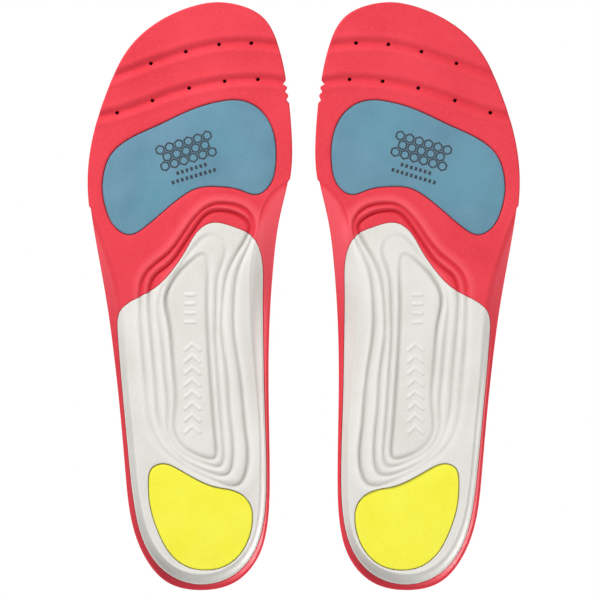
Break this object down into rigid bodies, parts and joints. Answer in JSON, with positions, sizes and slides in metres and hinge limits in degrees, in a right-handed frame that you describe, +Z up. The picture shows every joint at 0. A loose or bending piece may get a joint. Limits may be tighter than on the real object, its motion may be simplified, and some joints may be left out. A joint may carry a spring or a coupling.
{
  "type": "cushioned insole",
  "caption": "Contoured foam shoe insoles, left and right, with a moulded arch and heel shell and inlaid forefoot and heel cushion pads.",
  "frame": {"origin": "bottom centre of the pair's box, midway between the two insoles, on the surface they rest on", "axes": "+Z up through the foot side, +Y from heel to toes, +X from the left insole towards the right one"},
  "size_m": [0.198, 0.27, 0.0231],
  "materials": {
    "cover_fabric": "matte",
    "base_foam": "matte",
    "shell_foam": "satin",
    "forefoot_cushion": "matte",
    "heel_cushion": "matte",
    "hot_melt_film": "matte"
  },
  "bodies": {
    "left_insole": {"left_cover": "cover_fabric", "left_base": "base_foam", "left_shell": "shell_foam", "left_forefoot_pad": "forefoot_cushion", "left_forefoot_pad_adhesive": "hot_melt_film", "left_heel_pad": "heel_cushion", "left_heel_pad_adhesive": "hot_melt_film"},
    "left_toe": {"left_cover_toe": "cover_fabric", "left_base_toe": "base_foam"},
    "right_insole": {"right_cover": "cover_fabric", "right_base": "base_foam", "right_shell": "shell_foam", "right_forefoot_pad": "forefoot_cushion", "right_forefoot_pad_adhesive": "hot_melt_film", "right_heel_pad": "heel_cushion", "right_heel_pad_adhesive": "hot_melt_film"},
    "right_toe": {"right_cover_toe": "cover_fabric", "right_base_toe": "base_foam"}
  },
  "joints": [
    {"name": "right_lift", "type": "slide", "parent": "left_insole", "child": "right_insole", "axis": [0, 0, 1], "range_m": [0, 0.06]},
    {"name": "left_toe_flex", "type": "hinge", "parent": "left_insole", "child": "left_toe", "pos_m": [-0.0505, 0.0885, 0.005], "axis": [0.9851, 0.1719, 0], "range_deg": [0, 30], "stiffness_Nm_per_rad": 0.04},
    {"name": "right_toe_flex", "type": "hinge", "parent": "right_insole", "child": "right_toe", "pos_m": [0.0505, 0.0885, 0.005], "axis": [0.9851, -0.1719, 0], "range_deg": [0, 30], "stiffness_Nm_per_rad": 0.04}
  ]
}
